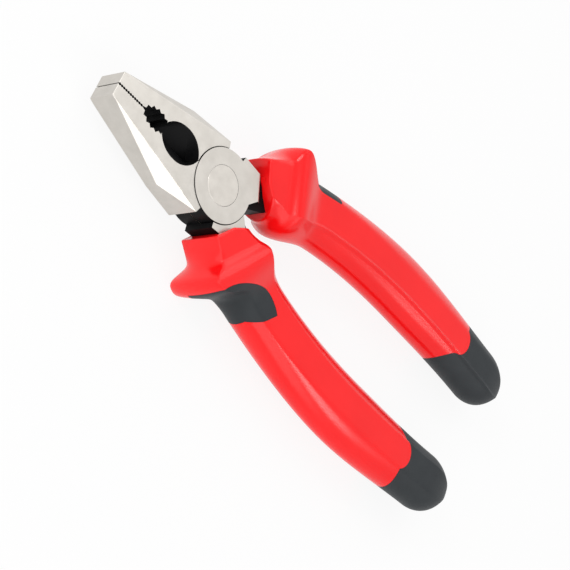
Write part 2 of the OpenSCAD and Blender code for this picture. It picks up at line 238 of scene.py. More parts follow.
PANEL_HALF = PANEL_W / 2
GRIP_H = GRIP_T / 2
RIGHT_LIP = (RIGHT_GUARD_OUT, RIGHT_LIP_LEN, RIGHT_LIP_FALL, RIGHT_FLARE_POWER, RIGHT_LIP_LEAN)
LEFT_LIP = (LEFT_GUARD_OUT, LEFT_LIP_LEN, LEFT_LIP_FALL, LEFT_FLARE_POWER, LEFT_LIP_LEAN)
RIGHT_PAD = (RIGHT_PAD_SIDE, RIGHT_PAD_FOOT, RIGHT_PAD_HEEL)
LEFT_PAD = (LEFT_PAD_SIDE, LEFT_PAD_FOOT, LEFT_PAD_HEEL)
TAIL_AT = GRIP_LEN - TAIL_ROUND
RIGHT_S = -GRIP_FRONT
LEFT_S = -GRIP_FRONT - LEFT_FORWARD
NECK_IN = COLLAR_IN + NECK_BULGE
NECK_OUT = TANG_W / 2 - NECK_LEAN
TANG_LEN = GRIP_LEN - TANG_SHORT
BRIGHT, BLACK = 0, 1


# Centre line of a handle: three tangent arcs, measured from the widest point
def arc_point(c, r, a):
    return (c[0] - r * math.sin(math.radians(a)), c[1] + r * math.cos(math.radians(a)))


def turn(length, r):
    return math.degrees(length / r)


REAR_C = (BOW_X, BOW_Y - REAR_BOW_R)
FRONT_C = (BOW_X, BOW_Y - FRONT_BOW_R)
NECK_A = turn(FRONT_LEN, FRONT_BOW_R)
NECK_C = arc_point(FRONT_C, FRONT_BOW_R - NECK_BOW_R, NECK_A)


def heading(s):
    """Angle of the centre line at distance s, in degrees."""
    if s >= 0:
        return -turn(s, REAR_BOW_R)
    if s > -FRONT_LEN:
        return turn(-s, FRONT_BOW_R)
    return NECK_A + turn(-s - FRONT_LEN, NECK_BOW_R)


def beside(s, v):
    """The point at distance s along the centre line and v to its outer side."""
    a = heading(s)
    if s >= 0:
        c = arc_point(REAR_C, REAR_BOW_R, a)
    elif s > -FRONT_LEN:
        c = arc_point(FRONT_C, FRONT_BOW_R, a)
    else:
        c = arc_point(NECK_C, NECK_BOW_R, a)
    return arc_point(c, v, a)


def between(a, b, t):
    return a + (b - a) * t


def steps(a, b, count):
    """Evenly spaced values from a to b, both included."""
    return [between(a, b, i / count) for i in range(count + 1)]


def ease(t):
    return t * t * (3 - 2 * t)


def rise(d, start, end):
    """0 up to the start and 1 from the end on, eased between."""
    return ease(min(1.0, max(0.0, (d - start) / (end - start))))


def bell(x, sigma):
    return np.exp(-0.5 * (x / sigma) ** 2)


def bell_weights(step, sigma, reach):
    """Weights of a running mean over so many points to both sides."""
    w = bell(np.arange(-reach, reach + 1) * step, sigma)
    return w / w.sum()


def circle(r, count):
    angles = [2 * math.pi * i / count for i in range(count)]
    return [(r * math.cos(a), r * math.sin(a)) for a in angles]


# Grip sections: outer and inner half width, half thickness, panel half widths, leans
Section = namedtuple("Section", "outer inner half_t outer_panel inner_panel lean inner_lean")


def body_half(d):
    grow = (PALM_W - WAIST_W) * rise(d, WAIST_AT, PALM_AT)
    return (WAIST_W + grow + (TAIL_W - PALM_W) * rise(d, PALM_AT, TAIL_AT)) / 2


def section(d, lip):
    """The section at distance d from the grip's front, for a guard with this lip."""
    guard_out, lip_len, lip_fall, power, lip_lean = lip
    lip_at = GUARD_AT - lip_len
    body = body_half(d)
    palm = body + PALM_SWELL * (rise(d, WAIST_AT, PALM_AT) - rise(d, PALM_AT, TAIL_AT))
    fall = rise(d, GUARD_AT, GUARD_AT + lip_fall)
    crest = rise(d, COLLAR_LEN - lip_len, lip_at)
    if d < lip_at:
        outer = between(COLLAR_OUT + COLLAR_EDGE, guard_out, (max(d, 0) / lip_at) ** power)
    else:
        outer = between(guard_out, palm, fall)
    if d < GUARD_AT:
        inner = between(COLLAR_SIDE, GUARD_IN, rise(d, 0, GUARD_AT))
    else:
        inner = between(GUARD_IN, body, rise(d, GUARD_AT, WAIST_AT))
    half_t = between(COLLAR_T, GUARD_T, crest) / 2
    half_t -= (GUARD_T - GRIP_T) / 2 * rise(d, GUARD_AT, GUARD_AT + GUARD_FALL)
    along = min(1.0, max(d, 0) / COLLAR_LEN)
    outer_flat = COLLAR_OUT + COLLAR_FLARE * along
    body_panel = between(WAIST_PANEL_W / 2, PANEL_HALF, rise(d, WAIST_AT, PALM_AT))
    outer_panel = between(between(outer_flat, guard_out - LIP_ROUND, crest), body_panel, fall)
    inner_flat = COLLAR_IN + COLLAR_IN_FLARE * along
    inner_panel = between(inner_flat, PANEL_HALF, rise(d, COLLAR_LEN, WAIST_AT))
    lean = between(COLLAR_LEAN, lip_lean, rise(d, 0, lip_at))
    lean = between(lean, GUARD_LEAN, rise(d, lip_at, GUARD_AT)) * (1 - rise(d, GUARD_AT, PALM_AT))
    inner_lean = between(INNER_LEAN, lean, rise(d, 0, INNER_LEAN_LEN))
    return Section(outer, inner, half_t, outer_panel, inner_panel, lean, inner_lean)


# The same sections with the kinks between their stretches rounded along the handle
FINE_D = np.arange(-FINE_OVER, TAIL_AT + FINE_OVER, FINE)


def rounded_table(table, sigma):
    reach = int(TABLE_REACH * sigma / FINE)
    w = bell_weights(FINE, sigma, reach)
    padded = np.pad(table, ((reach, reach), (0, 0)), mode="edge")
    return [np.convolve(column, w, mode="valid") for column in padded.T]


def smooth_sections(lip):
    """The sections of a grip with this lip, by distance from its front."""
    columns = rounded_table(np.array([section(d, lip) for d in FINE_D]), SECTION_ROUND)
    return lambda d: Section(*(float(np.interp(d, FINE_D, column)) for column in columns))


def gathered(t):
    """A share from 0 to 1, with even steps drawn towards both ends."""
    return t - GATHER_SHARE * math.sin(2 * math.pi * t) / (2 * math.pi)


def side_curve(c, w, h, spread):
    """The round side of a section, from crease to crease: c at the creases and w at its widest."""
    base = math.sin(math.radians(CREASE_A))
    points = []
    for i in range(SIDE_POINTS + 1):
        a = math.radians(between(CREASE_A, 180 - CREASE_A, spread(i / SIDE_POINTS)))
        points.append((c + (w - c) * (math.sin(a) - base) / (1 - base),
                       h * math.cos(a) / math.cos(math.radians(CREASE_A))))
    return points


def panel_line(a, b, shares):
    return [(between(a[0], b[0], t), between(a[1], b[1], t)) for t in shares]


def rounded_ring(p, sigma):
    """The same closed ring of points with its corners rounded."""
    step = np.linalg.norm(np.roll(p, -1, 0) - p, axis=1).mean()
    reach = max(1, int(round(RING_REACH * sigma / step)))
    w = bell_weights(step, sigma, reach)
    return sum(wi * np.roll(p, -i, 0) for wi, i in zip(w, range(-reach, reach + 1)))


def section_ring(k, inset, round_mm, bead):
    """One section's points, drawn close together at the inner creases, with a bead along these."""
    half_t = k.half_t - inset
    outer = side_curve(k.outer_panel - inset, k.outer - inset, half_t, float)
    inner = side_curve(k.inner_panel - inset, k.inner - inset, half_t, gathered)
    inner = [(-x, z) for x, z in reversed(inner)]
    inward = [1 - (1 - i / PANEL_POINTS) ** GATHER_POWER for i in range(1, PANEL_POINTS)]
    outward = [(i / PANEL_POINTS) ** GATHER_POWER for i in range(1, PANEL_POINTS)]
    ring = outer + panel_line(outer[-1], inner[0], inward)
    ring += inner + panel_line(inner[-1], outer[0], outward)
    p = np.array(ring)
    if round_mm > 0:
        p = rounded_ring(p, round_mm)
    p[:, 1] += np.sign(p[:, 1]) * bead * bell(p[:, 0] + k.inner_panel - inset, BEAD_W)
    return p


def bead_share(d):
    return rise(d, BEAD_START, BEAD_FULL) - rise(d, TAIL_AT, GRIP_LEN)


def grip_stations():
    front = list(np.arange(0, FRONT_STATIONS, FRONT_STEP))
    body = list(np.arange(FRONT_STATIONS, TAIL_AT, BODY_STEP))
    return front + body + [TAIL_AT]


def grip_form(name, s, smooth_section, bead_h):
    """Closed mesh of a grip's whole outer form, with a rounded collar rim and a rounded tail."""
    rings = []
    for i in range(RIM_RINGS):
        a = math.radians(90 * i / RIM_RINGS)
        rings.append((COLLAR_RIM * (1 - math.cos(a)), smooth_section(0), COLLAR_RIM * (1 - math.sin(a))))
    rings += [(d, smooth_section(d), 0.0) for d in grip_stations() if d > COLLAR_RIM]
    k = smooth_section(TAIL_AT)
    for i in range(1, TAIL_RINGS + 1):
        u = TAIL_REACH * math.sin(math.radians(90 * i / TAIL_RINGS))
        w = math.sqrt(1 - u * u)
        h = math.sqrt(1 - u * u * TAIL_FLAT)
        end = Section(k.outer * w, k.inner * w, k.half_t * h, k.outer_panel * w, k.inner_panel * w, 0.0, 0.0)
        rings.append((TAIL_AT + TAIL_ROUND * u, end, 0.0))
    return loft(name, s, rings, CREASE_R, lambda d: bead_h * bead_share(d))


def pad_core(name, s, smooth_section):
    """The grip's form under the thumb pad, one pad thickness inside the surface."""
    stations = [d for d in grip_stations() if d < PAD_AT + PAD_CORE_REACH * PAD_FRONT]
    return loft(name, s, [(d, smooth_section(d), PAD_T) for d in stations], 0.0, lambda d: 0.0)


def loft(name, s, rings, round_mm, bead):
    """A closed mesh through rings of distance, section and inset, on a grip that starts at s."""
    verts = []
    for d, k, inset in rings:
        least = min(k.outer, k.inner, k.half_t)
        for v, z in section_ring(k, inset, min(round_mm, CREASE_R_SHARE * least), bead(d)):
            lean = k.lean if v > 0 else k.inner_lean
            x, y = beside(s + d - lean * v, v)
            verts.append((x * MM, y * MM, z * MM))
    return mesh_object(name, verts, tube_faces(len(verts) // len(rings), len(rings)))


# Mesh helpers
@contextmanager
def edited(mesh):
    """The mesh opened for changes, which are written back at the end."""
    bm = bmesh.new()
    bm.from_mesh(mesh)
    yield bm
    bm.to_mesh(mesh)
    bm.free()


def linked(name, data):
    """A new object in the scene with this mesh, lamp or camera."""
    obj = bpy.data.objects.new(name, data)
    bpy.context.scene.collection.objects.link(obj)
    return obj


def mesh_object(name, verts, faces, materials=()):
    mesh = bpy.data.meshes.new(name)
    mesh.from_pydata([tuple(v) for v in verts], [], faces)
    with edited(mesh) as bm:
        bmesh.ops.recalc_face_normals(bm, faces=bm.faces)
    for m in materials:
        mesh.materials.append(m)
    return linked(name, mesh)


def tube_faces(n, rows):
    """The faces of a tube of so many rows of n points, closed at both ends."""
    faces = []
    for j in range(rows - 1):
        for i in range(n):
            a = j * n + i
            b = j * n + (i + 1) % n
            faces.append((a, b, b + n, a + n))
    last = (rows - 1) * n
    return faces + [tuple(range(n - 1, -1, -1)), tuple(range(last, last + n))]


def prism(name, points, z0, z1, matrix=None, side_slots=None, cap_slot=BRIGHT, materials=()):
    """A closed prism over a plan, in millimetres, with a material slot for each side."""
    n = len(points)
    verts = [Vector((x * MM, y * MM, z0 * MM)) for x, y in points]
    verts += [Vector((x * MM, y * MM, z1 * MM)) for x, y in points]
    faces = [tuple(range(n - 1, -1, -1)), tuple(range(n, 2 * n))]
    faces += [(i, (i + 1) % n, (i + 1) % n + n, i + n) for i in range(n)]
    if matrix is not None:
        verts = [matrix @ v for v in verts]
    obj = mesh_object(name, verts, faces, materials)
    slots = [cap_slot] * 2 + list(side_slots or [cap_slot] * n)
    for p, slot in zip(obj.data.polygons, slots):
        p.material_index = slot
    return obj


def disc(name, r, z0, z1, side_slot, count=DISC_STEPS):
    """A disc of forging with bright faces."""
    return prism(name, circle(r, count), z0, z1, None, [side_slot] * count, BRIGHT, FORGING)


def combine(obj, other, operation):
    """Joins or cuts obj with another closed mesh, and drops the other."""
    m = obj.modifiers.new("cut", "BOOLEAN")
    m.operation = operation
    m.solver = "EXACT"
    m.object = other
    apply_modifiers(obj)
    with edited(obj.data) as bm:
        weld(bm)
    bpy.data.objects.remove(other)
    return obj


def weld(bm):
    """Merges the points that a cut leaves very close together, so that the mesh stays closed."""
    bmesh.ops.remove_doubles(bm, verts=bm.verts, dist=WELD)
    bmesh.ops.dissolve_degenerate(bm, edges=bm.edges, dist=WELD)


def apply_modifiers(obj):
    deps = bpy.context.evaluated_depsgraph_get()
    deps.update()
    mesh = bpy.data.meshes.new_from_object(obj.evaluated_get(deps))
    obj.modifiers.clear()
    old = obj.data
    obj.data = mesh
    bpy.data.meshes.remove(old)


def duplicate(obj, name):
    return linked(name, obj.data.copy())


def place(obj, matrix):
    obj.data.transform(matrix)


def tidy(obj, sharp_deg, flat_mm2=math.inf):
    """Welds the mesh, marks its hard edges and smooths the rest, all but the large flat faces."""
    limit = math.radians(sharp_deg)
    with edited(obj.data) as bm:
        weld(bm)
        bmesh.ops.recalc_face_normals(bm, faces=bm.faces)
        for f in bm.faces:
            f.smooth = f.calc_area() < flat_mm2 * MM * MM
        for e in bm.edges:
            e.smooth = len(e.link_faces) == 2 and e.calc_face_angle(0) < limit


def rounded_edges(obj, choose):
    """Bevels the chosen hard edges of a forging."""
    least_angle = math.radians(EDGE_LEAST_DEG)
    with edited(obj.data) as bm:
        bmesh.ops.remove_doubles(bm, verts=bm.verts, dist=EDGE_WELD)
        bmesh.ops.dissolve_limit(bm, angle_limit=math.radians(FLAT_DEG), verts=bm.verts, edges=bm.edges,
                                 delimit={"MATERIAL"})
        edges = [e for e in bm.edges
                 if len(e.link_faces) == 2 and e.calc_face_angle(0) > least_angle
                 and e.calc_length() > EDGE_LEAST_LEN * MM and choose(e)]
        bmesh.ops.bevel(bm, geom=edges, offset=EDGE_R * MM, segments=EDGE_SEGMENTS,
                        profile=EDGE_PROFILE, affect="EDGES", clamp_overlap=True,
                        material=BRIGHT, loop_slide=True)


# Materials
NOISE_LOW = 0.3
NOISE_HIGH = 0.7


def new_material(name):
    m = bpy.data.materials.new(name)
    m.use_nodes = True
    t = m.node_tree
    return m, t, t.nodes["Principled BSDF"]


def node(t, kind, **values):
    n = t.nodes.new(kind)
    for k, v in values.items():
        if k in n.inputs:
            n.inputs[k].default_value = v
        else:
            setattr(n, k, v)
    return n


def noise(t, scale, detail, rough, stretch=(1, 1, 1)):
    """Noise in the object's own metres, stretched along its axes."""
    c = node(t, "ShaderNodeTexCoord")
    m = node(t, "ShaderNodeMapping", Scale=stretch)
    n = node(t, "ShaderNodeTexNoise", Scale=scale, Detail=detail, Roughness=rough)
    t.links.new(c.outputs["Object"], m.inputs["Vector"])
    t.links.new(m.outputs["Vector"], n.inputs["Vector"])
    return n.outputs["Fac"]


def rings(t, scale, distortion, detail):
    """Turning marks around the object's Z axis."""
    c = node(t, "ShaderNodeTexCoord")
    n = node(t, "ShaderNodeTexWave", wave_type="RINGS", rings_direction="Z",
             Scale=scale, Distortion=distortion, Detail=detail)
    t.links.new(c.outputs["Object"], n.inputs["Vector"])
    return n.outputs["Fac"]


def colour(t, b, source, low, high):
    r = node(t, "ShaderNodeValToRGB")
    for element, position, value in zip(r.color_ramp.elements, (NOISE_LOW, NOISE_HIGH), (low, high)):
        element.position = position
        element.color = (*value, 1)
    t.links.new(source, r.inputs["Fac"])
    t.links.new(r.outputs["Color"], b.inputs["Base Color"])


def roughness(t, b, source, low, high):
    m = node(t, "ShaderNodeMapRange")
    m.inputs["From Min"].default_value = NOISE_LOW
    m.inputs["From Max"].default_value = NOISE_HIGH
    m.inputs["To Min"].default_value = low
    m.inputs["To Max"].default_value = high
    t.links.new(source, m.inputs["Value"])
    t.links.new(m.outputs["Result"], b.inputs["Roughness"])


def bump(t, b, source, strength, distance):
    n = node(t, "ShaderNodeBump", Strength=strength, Distance=distance)
    t.links.new(source, n.inputs["Height"])
    t.links.new(n.outputs["Normal"], b.inputs["Normal"])


def steel_material():
    m, t, b = new_material("satin_steel")
    b.inputs["Metallic"].default_value = 1.0
    cloud = noise(t, scale=190, detail=4, rough=0.55)
    brush = noise(t, scale=1, detail=3, rough=0.6, stretch=(160, 2600, 2600))
    colour(t, b, cloud, low=(0.572, 0.543, 0.500), high=(0.650, 0.620, 0.575))
    roughness(t, b, brush, low=0.30, high=0.42)
    bump(t, b, brush, strength=0.10, distance=0.00003)
    return m


def rivet_material():
    m, t, b = new_material("turned_steel")
    b.inputs["Metallic"].default_value = 1.0
    cloud = noise(t, scale=260, detail=4, rough=0.55)
    colour(t, b, cloud, low=(0.602, 0.568, 0.522), high=(0.676, 0.643, 0.594))
    roughness(t, b, cloud, low=0.28, high=0.40)
    bump(t, b, rings(t, scale=520, distortion=0.6, detail=2), strength=0.05, distance=0.00002)
    return m


def black_material():
    m, t, b = new_material("black_finish")
    grain = noise(t, scale=2400, detail=3, rough=0.6)
    colour(t, b, grain, low=(0.0030, 0.0030, 0.0033), high=(0.0070, 0.0070, 0.0074))
    roughness(t, b, grain, low=0.42, high=0.58)
    b.inputs["Specular IOR Level"].default_value = 0.08
    bump(t, b, grain, strength=0.12, distance=0.00003)
    return m


def red_material():
    m, t, b = new_material("red_vinyl")
    cloud = noise(t, scale=70, detail=3, rough=0.5)
    peel = noise(t, scale=1500, detail=2, rough=0.5)
    colour(t, b, cloud, low=(0.930, 0.0045, 0.0065), high=(0.985, 0.0065, 0.0085))
    roughness(t, b, peel, low=0.19, high=0.21)
    b.inputs["Specular IOR Level"].default_value = 0.36
    bump(t, b, peel, strength=0.002, distance=0.00002)
    return m


def charcoal_material():
    m, t, b = new_material("charcoal_rubber")
    cloud = noise(t, scale=120, detail=3, rough=0.5)
    grain = noise(t, scale=3200, detail=3, rough=0.6)
    colour(t, b, cloud, low=(0.0200, 0.0235, 0.0265), high=(0.0265, 0.0310, 0.0345))
    roughness(t, b, grain, low=0.44, high=0.58)
    b.inputs["Specular IOR Level"].default_value = 0.25
    bump(t, b, grain, strength=0.12, distance=0.00004)
    return m


RIVET = rivet_material()
RED = red_material()
CHARCOAL = charcoal_material()
FORGING = [steel_material(), black_material()]


# One forged half with its jaw at -Y, its disc on top and its tang at +Y, about the mid plane
def pipe_arc():
    """The toothed arc of the pipe grip, from front to back."""
    x = -PIPE_FRONT_X + PIPE_MID_SHARE * (PIPE_FRONT_X - PIPE_BACK_X)
    half = PIPE_FRONT_X + x
    r = (half ** 2 + PIPE_D ** 2) / (2 * PIPE_D)
    y = r - PIPE_D
    start = math.atan2(-y, -PIPE_FRONT_X - x) % (2 * math.pi)
    end = 2 * math.pi - math.acos((-PIPE_BACK_X - x) / r)
    points = []
    for i, a in enumerate(steps(start, end, 2 * PIPE_TEETH)):
        rr = r - (i % 2) * PIPE_TOOTH_D
        points.append((x + rr * math.cos(a), y + rr * math.sin(a) - PARTING_GAP / 2))
    return points


def jaw_plan():
    """The jaw's outline, with a material slot for each side."""
    half_gap = PARTING_GAP / 2
    run = JAW_LEN - PIPE_FRONT_X
    count = int(run / SERRATION_PITCH)
    points = []
    for i in range(2 * count + 1):
        points.append((-JAW_LEN + i * run / (2 * count), -half_gap - (i % 2) * SERRATION_D))
    points += pipe_arc()
    points += [(-PIPE_BACK_X, -half_gap), (-PIPE_BACK_X + PARTING_GAP, -CUTTER_GAP / 2)]
    points += [(0, -CUTTER_GAP / 2)]
    slots = [BRIGHT] + [BLACK] * (len(points) - 1)
    outside = [(-REAR_X, -REAR_W), (-SIDE_X, -SIDE_W), (-JAW_LEN, -TIP_W)]
    return points + outside, slots + [BRIGHT] * len(outside)


def slice_off(obj, a, b, c):
    """Cuts away what lies beyond the plane through three points."""
    a, b, c = (Vector(p) * MM for p in (a, b, c))
    along = (b - a).normalized()
    out = (b - a).cross(c - a).normalized()
    m = Matrix.Translation(a) @ Matrix((along, out.cross(along), out)).transposed().to_4x4()
    r = 2 * JAW_LEN
    square = [(-r, -r), (r, -r), (r, r), (-r, r)]
    combine(obj, prism("slice_tool", square, 0, r, m, materials=FORGING), "DIFFERENCE")


def both_faces(p):
    return [p, [(x, y, -z) for x, y, z in (p[0], p[2], p[1])]]


def lens_points(side):
    """The corners of one face of the cutter: a lens on the jaw face and the land at its bottom."""
    half = CUTTER_LEN / 2
    x = -JOINT_R - DISC_GAP - half
    r = (half * half + CUTTER_W * CUTTER_W) / (2 * CUTTER_W)
    a0 = math.asin(half / r)
    points = []
    for z in (HEAD_T / 2, HEAD_T / 2 + OVERRUN):
        for a in steps(-a0, a0, LENS_STEPS):
            y = CUTTER_W - r + r * math.cos(a)
            points += [(x + r * math.sin(a), y, z * side), (x + r * math.sin(a), -y, z * side)]
    edge = half * CUTTER_EDGE_SHARE
    for dx in (-edge, edge):
        for y in (-CUTTER_GAP, CUTTER_GAP):
            points += [(x + dx, y, z * side) for z in (CUTTER_LAND, 2 * CUTTER_LAND)]
    return points


def cutter_bevel(name, side):
    """One face of the cutter, as the black solid that is cut from the jaw."""
    bm = bmesh.new()
    for p in lens_points(side):
        bm.verts.new([MM * c for c in p])
    bmesh.ops.remove_doubles(bm, verts=bm.verts, dist=WELD)
    hull = bmesh.ops.convex_hull(bm, input=bm.verts)
    loose = {v for v in hull["geom_interior"] + hull["geom_unused"] if isinstance(v, bmesh.types.BMVert)}
    bmesh.ops.delete(bm, geom=list(loose), context="VERTS")
    bmesh.ops.recalc_face_normals(bm, faces=bm.faces)
    mesh = bpy.data.meshes.new(name)
    bm.to_mesh(mesh)
    bm.free()
    for m in FORGING:
        mesh.materials.append(m)
    for p in mesh.polygons:
        p.material_index = BLACK
    return linked(name, mesh)


def tang_edge(d, wide):
    return between(wide, TANG_W / 2, rise(d, 0, NECK_TAPER))


def tang_points(start, end, clear):
    stations = steps(start, end, TANG_STEPS)
    outer = [beside(RIGHT_S + d, tang_edge(d, NECK_OUT) + clear) for d in stations]
    inner = [beside(RIGHT_S + d, -tang_edge(d, NECK_IN) - clear) for d in reversed(stations)]
    return outer + inner


def web_points(clear):
    """A web on the neck's inner side, from the disc into the grip."""
    stations = steps(-WEB_FRONT, WEB_REAR, WEB_STEPS)
    inner = [beside(RIGHT_S + d, -tang_edge(d, WEB_IN) - clear) for d in reversed(stations)]
    return [beside(RIGHT_S + d, 0) for d in stations] + inner


def tang_forms(clear):
    """Outline and half thickness of the tang and of the web, grown by a clearance."""
    tang = tang_points(-NECK_SLOPE, TANG_LEN + clear, clear)
    return (tang, TANG_T / 2 + clear), (web_points(clear), WEB_T / 2 + clear)


def neck_points(end, clear):
    stop = math.radians(OPEN_ANGLE - REAR_ANGLE)
    root = math.radians(NECK_ROOT_A)
    return [(0, 0), (REAR_W * math.tan(stop), REAR_W),
            beside(RIGHT_S - NECK_SLOPE, NECK_OUT + clear), beside(RIGHT_S + end, NECK_OUT + clear),
            beside(RIGHT_S + end, -NECK_IN - clear), beside(RIGHT_S - NECK_SLOPE, -NECK_IN - clear),
            (JOINT_R * math.cos(root), JOINT_R * math.sin(root))]


def jaw(name):
    """The jaw with its taper towards the tip, its bevelled outer faces and the cutter."""
    h = HEAD_T / 2
    plan, slots = jaw_plan()
    obj = prism(name, plan, -h, h, None, slots, BRIGHT, FORGING)
    tip = (-JAW_LEN, -TIP_W, TIP_T / 2)
    side = (-SIDE_X, -SIDE_W, h - BEVEL_DROP)
    rear = (-REAR_X, -REAR_W, h)
    taper = [(-JOINT_R, 0, h), (-JOINT_R, TIP_W, h), (-JAW_LEN, 0, TIP_T / 2)]
    for plane in both_faces(taper) + both_faces([tip, side, rear]):
        slice_off(obj, *plane)
    for face in (1, -1):
        combine(obj, cutter_bevel("cutter_tool", face), "DIFFERENCE")
    return obj


def neck():
    """The neck between joint and grip, which slopes down to the tang's thickness."""
    h = HEAD_T / 2
    points = neck_points(0, 0)
    obj = prism("neck_tool", points, -h, h, None, [BLACK] * len(points), BRIGHT, FORGING)
    shoulder = beside(RIGHT_S - NECK_SLOPE, NECK_IN)
    root = beside(RIGHT_S - NECK_SLOPE, 0)
    foot = beside(RIGHT_S, 0)
    for plane in both_faces([(*shoulder, h), (*root, h), (*foot, TANG_T / 2)]):
        slice_off(obj, *plane)
    return obj


def forged_half(name):
    """Jaw, neck, tang, web and disc in one, cut for the other disc and for the rivet."""
    half = jaw(name)
    combine(half, neck(), "UNION")
    for points, t in tang_forms(0):
        combine(half, prism("tang_tool", points, -t, t, None, None, BLACK, FORGING), "UNION")
    top = MID_Z + OVERRUN
    seat = MID_Z - RIVET_HEAD_T - HEAD_CLEAR
    combine(half, disc("disc_tool", JOINT_R, 0, MID_Z, BLACK), "UNION")
    combine(half, disc("notch_tool", JOINT_R + DISC_GAP, -top, LAP_GAP / 2, BLACK), "DIFFERENCE")
    combine(half, disc("bore_tool", RIVET_R + RUN_CLEAR, -OVERRUN, top, BRIGHT, BORE_STEPS), "DIFFERENCE")
    combine(half, disc("seat_tool", RIVET_HEAD_R + RUN_CLEAR, seat, top, BLACK), "DIFFERENCE")
    return half


def pivot_rivet():
    """A turned rivet with flush heads and fine rims."""
    top = 2 * MID_Z
    profile = [(RIVET_HEAD_R - RIVET_RIM, 0), (RIVET_HEAD_R, RIVET_RIM), (RIVET_HEAD_R, RIVET_HEAD_T),
               (RIVET_R, RIVET_HEAD_T), (RIVET_R, top - RIVET_HEAD_T), (RIVET_HEAD_R, top - RIVET_HEAD_T),
               (RIVET_HEAD_R, top - RIVET_RIM), (RIVET_HEAD_R - RIVET_RIM, top)]
    verts = [(x * MM, y * MM, z * MM) for r, z in profile for x, y in circle(r, RIVET_STEPS)]
    return mesh_object("rivet", verts, tube_faces(RIVET_STEPS, len(profile)), [RIVET])


# Rooms of the two inserts in a grip that starts at distance s
def grip_matrix(s, d):
    x, y = beside(s + d, 0)
    turned = Matrix.Rotation(math.radians(heading(s + d)), 4, "Z")
    return Matrix.Translation((x * MM, y * MM, 0)) @ turned


def about_x(degrees):
    return Matrix.Rotation(math.radians(degrees), 4, "X")


def pad_points(shape, grow):
    """The pad's outline: one arc with a nipped heel and a foot down the grip's outer side."""
    side, foot, heel = shape
    front, rear, up = PAD_FRONT + grow, PAD_REAR + grow, PAD_RISE + grow
    angles = steps(math.pi, math.acos(rear / front), PAD_STEPS)
    arc = [(front * math.cos(a), up * math.sin(a) - PAD_DROP) for a in angles]
    nip = (rear - PAD_SKEW / 2 - PAD_NIP, -PAD_DROP)
    return arc + [nip, (rear - PAD_SKEW, -side), (rear + heel, -PAD_LOW - grow), (-front, -foot - grow)]


def pad_room(s, smooth_section, shape, grow):
    m = grip_matrix(s, PAD_AT) @ about_x(-PAD_TURN) @ about_x(-90)
    room = prism("pad_tool", pad_points(shape, grow), 0, LEFT_GUARD_OUT + GUARD_T, m)
    return combine(room, pad_core("pad_core", s, smooth_section), "DIFFERENCE")


def tongue_points(half, reach):
    r = (half * half + reach * reach) / (2 * reach)
    a0 = 2 * math.atan(reach / half)
    arc = [(r * math.cos(a) - r + reach, r * math.sin(a)) for a in steps(-a0, a0, TONGUE_STEPS)]
    return arc + [(-OVERRUN, half), (-OVERRUN, -half)]


def cap_room(s, back):
    """The cap's room: red tongues reach into it on the panel and outside, and it has one inside."""
    m = grip_matrix(s, GRIP_LEN - CAP_LEN + back)
    w, t = TAIL_W, GUARD_T
    panel = tongue_points(PANEL_HALF + CUSP_OUT, TONGUE_LEN)
    outer = tongue_points(GRIP_H + CUSP_OUT, SIDE_TONGUE_LEN)
    inner = [(-x, y) for x, y in tongue_points(GRIP_H + CUSP_OUT, CAP_TONGUE_LEN)]
    inward = Matrix.Translation((0, -(PANEL_HALF + CUSP_OUT + SEAM / 2) * MM, 0)) @ about_x(90)
    room = prism("cap_tool", [(0, -w), (CAP_LEN + w, -w), (CAP_LEN + w, w), (0, w)], -t, t, m)
    combine(room, prism("panel_tool", panel, -t - OVERRUN, t + OVERRUN, m), "DIFFERENCE")
    combine(room, prism("outer_tool", outer, 0, w + OVERRUN, m @ about_x(-90)), "DIFFERENCE")
    return combine(room, prism("inner_tool", inner, 0, w, m @ inward), "UNION")


def tang_room():
    h = HEAD_T / 2 + TANG_CLEAR
    room = prism("neck_room", neck_points(TANG_CLEAR, TANG_CLEAR), -h, h)
    for points, t in tang_forms(TANG_CLEAR):
        combine(room, prism("tang_room", points, -t, t), "UNION")
    return room


def grip(side, s, lip, bead_h, pad_shape):
    """Sleeve, thumb pad and tail cap of one grip, cut from one form with fine seams between them."""
    smooth_section = smooth_sections(lip)
    form = grip_form(side + "_form", s, smooth_section, bead_h)
    sleeve = duplicate(form, side + "_sleeve_skin")
    combine(sleeve, pad_room(s, smooth_section, pad_shape, SEAM), "DIFFERENCE")
    combine(sleeve, cap_room(s, -SEAM), "DIFFERENCE")
    combine(sleeve, tang_room(), "DIFFERENCE")
    pad = duplicate(form, side + "_thumb_skin")
    combine(pad, pad_room(s, smooth_section, pad_shape, 0), "INTERSECT")
    cap = duplicate(form, side + "_tail_skin")
    combine(cap, cap_room(s, 0), "INTERSECT")
    combine(cap, tang_room(), "DIFFERENCE")
    bpy.data.objects.remove(form)
    for obj, material in ((sleeve, RED), (pad, CHARCOAL), (cap, CHARCOAL)):
        obj.data.materials.clear()
        obj.data.materials.append(material)
        for p in obj.data.polygons:
            p.material_index = 0
        tidy(obj, GRIP_SHARP_DEG)
    return sleeve, pad, cap


def at_rear_corner(v):
    """True at the jaw's rear corner, where a rounded edge would reach into the stop."""
    return math.hypot(v.co.x / MM + REAR_X, v.co.y / MM + REAR_W) < CORNER_NEAR


def wear_edge(e):
    """The edges that a polishing belt rounds: between bright faces, off the parting line."""
    middle = (e.verts[0].co + e.verts[1].co) / (2 * MM)
    parting = abs(middle.y) < PARTING_NEAR and middle.x < -JOINT_R
    if parting or any(at_rear_corner(v) for v in e.verts):
        return False
    return all(f.material_index == BRIGHT for f in e.link_faces)


